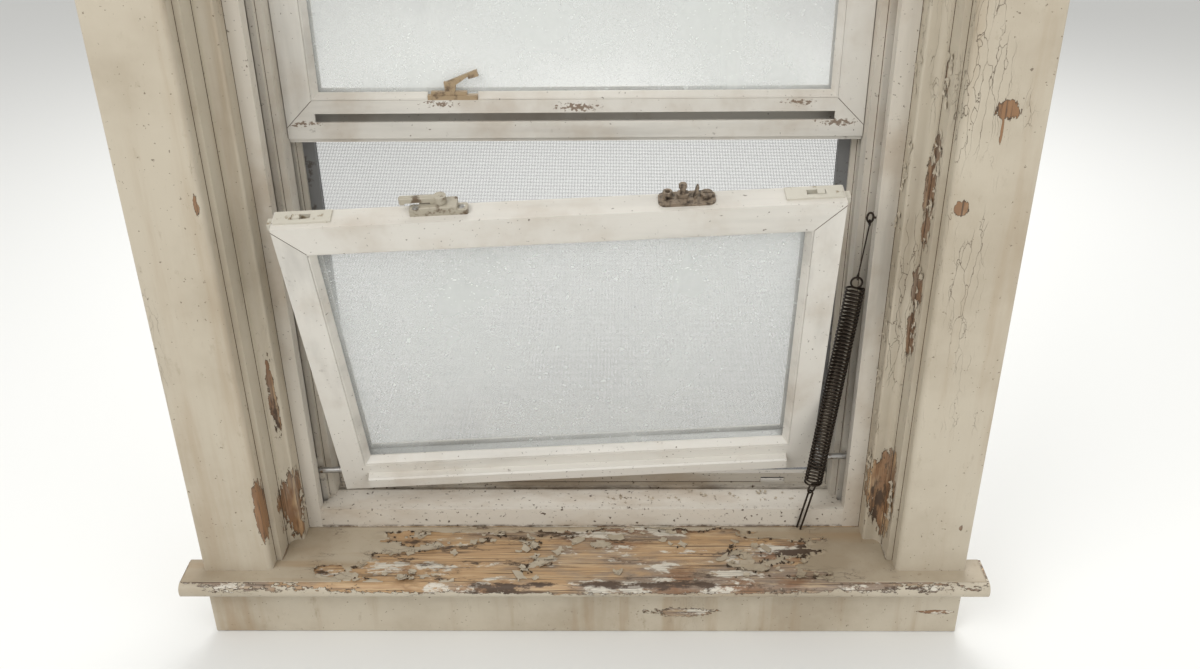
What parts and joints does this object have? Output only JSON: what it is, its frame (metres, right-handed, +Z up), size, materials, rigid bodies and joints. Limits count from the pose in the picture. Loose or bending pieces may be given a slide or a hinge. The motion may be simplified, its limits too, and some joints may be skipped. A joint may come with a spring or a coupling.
{
  "type": "sash window",
  "caption": "Old double-hung sash window with a leaning lower sash, painted wood casing, stool and apron, insect screen and a wire stay spring.",
  "frame": {"origin": "centre of the apron's back face, on the plane of the room's wall face", "axes": "+X to the right along the wall seen from the room, +Y from the room to the outdoors, +Z up"},
  "size_m": [0.988, 0.265, 1.1801],
  "materials": {
    "painted_wood": "aged cream gloss paint, chipped and peeling to bare wood",
    "raw_wood": "raw",
    "vinyl_frame": "yellowed and grimy",
    "vinyl_sash": "off-white with grime",
    "window_glass": "dusty",
    "screw_steel": "dull",
    "spring_steel": "dark and oily",
    "tube_plastic": "plain",
    "screen_metal": "grey",
    "screen_mesh": "woven",
    "latch_plastic": "grimy",
    "lock_cream": "worn cream",
    "corroded_metal": "corroded",
    "tan_metal": "worn tan",
    "spacer_metal": "dull"
  },
  "bodies": {
    "frame": {"casing_left": "painted_wood", "casing_right": "painted_wood", "casing_head": "painted_wood", "stool": "painted_wood", "apron": "painted_wood", "wood_jamb_left": "painted_wood", "wood_jamb_right": "painted_wood", "wood_jamb_head": "painted_wood", "wood_sill": "painted_wood", "stop_left": "painted_wood", "stop_right": "painted_wood", "stop_head": "painted_wood", "blind_stops": "painted_wood", "unit_jamb_left": "vinyl_frame", "unit_jamb_right": "vinyl_frame", "unit_head": "vinyl_frame", "unit_sill": "vinyl_frame", "fixing_screws": "screw_steel", "shims": "raw_wood", "balance_tubes": "tube_plastic", "screen_frame": "screen_metal", "screen_cloth": "screen_mesh", "screw_eye": "spring_steel", "stay_spring": "spring_steel", "spring_link": "spring_steel", "spring_tail": "spring_steel"},
    "shoes": {"shoe_left": "tube_plastic", "shoe_right": "tube_plastic", "lower_balance_rods": "screw_steel"},
    "lower_sash": {"lower_stile_left": "vinyl_sash", "lower_stile_right": "vinyl_sash", "lower_top_rail": "vinyl_sash", "lower_bottom_rail": "vinyl_sash", "lower_glazing_beads": "vinyl_sash", "lower_panes": "window_glass", "lower_glass_spacer": "spacer_metal", "pivot_bar_left": "screw_steel", "pivot_bar_right": "screw_steel", "latch_housing_left": "latch_plastic", "latch_housing_right": "latch_plastic", "left_lock_base": "lock_cream", "left_lock_screws": "screw_steel", "wrecked_lock_base": "corroded_metal", "wrecked_lock_post": "corroded_metal", "wrecked_lock_tabs": "corroded_metal"},
    "left_lock_lever": {"left_lock_lever": "lock_cream"},
    "left_latch_bolt": {"latch_bolt_left": "latch_plastic"},
    "right_latch_bolt": {"latch_bolt_right": "latch_plastic"},
    "upper_sash": {"upper_stile_left": "vinyl_sash", "upper_stile_right": "vinyl_sash", "upper_top_rail": "vinyl_sash", "upper_bottom_rail": "vinyl_sash", "upper_glazing_beads": "vinyl_sash", "upper_panes": "window_glass", "upper_glass_spacer": "spacer_metal", "upper_shoes": "tube_plastic", "upper_balance_rods": "screw_steel", "upper_latch_base": "tan_metal", "upper_latch_arm": "tan_metal"}
  },
  "joints": [
    {"name": "upper_sash_slide", "type": "slide", "parent": "frame", "child": "upper_sash", "axis": [0, 0, -1], "range_m": [0, 0.4]},
    {"name": "lower_shoes_slide", "type": "slide", "parent": "frame", "child": "shoes", "axis": [0, 0, 1], "range_m": [0, 0.3]},
    {"name": "lower_sash_tilt", "type": "hinge", "parent": "shoes", "child": "lower_sash", "pos_m": [-0.30678, 0.09127, 0.13365], "axis": [0.9995, 0, 0.0319], "range_deg": [-14.97, 0]},
    {"name": "left_lock_turn", "type": "hinge", "parent": "lower_sash", "child": "left_lock_lever", "pos_m": [-0.13919, -0.01155, 0.54739], "axis": [-0.0218, -0.2592, 0.9656], "range_deg": [0, 115]},
    {"name": "left_latch_slide", "type": "slide", "parent": "lower_sash", "child": "left_latch_bolt", "axis": [0.9989, 0.035, 0.0319], "range_m": [0, 0.01]},
    {"name": "right_latch_slide", "type": "slide", "parent": "lower_sash", "child": "right_latch_bolt", "axis": [-0.9989, -0.035, -0.0319], "range_m": [0, 0.01]}
  ]
}
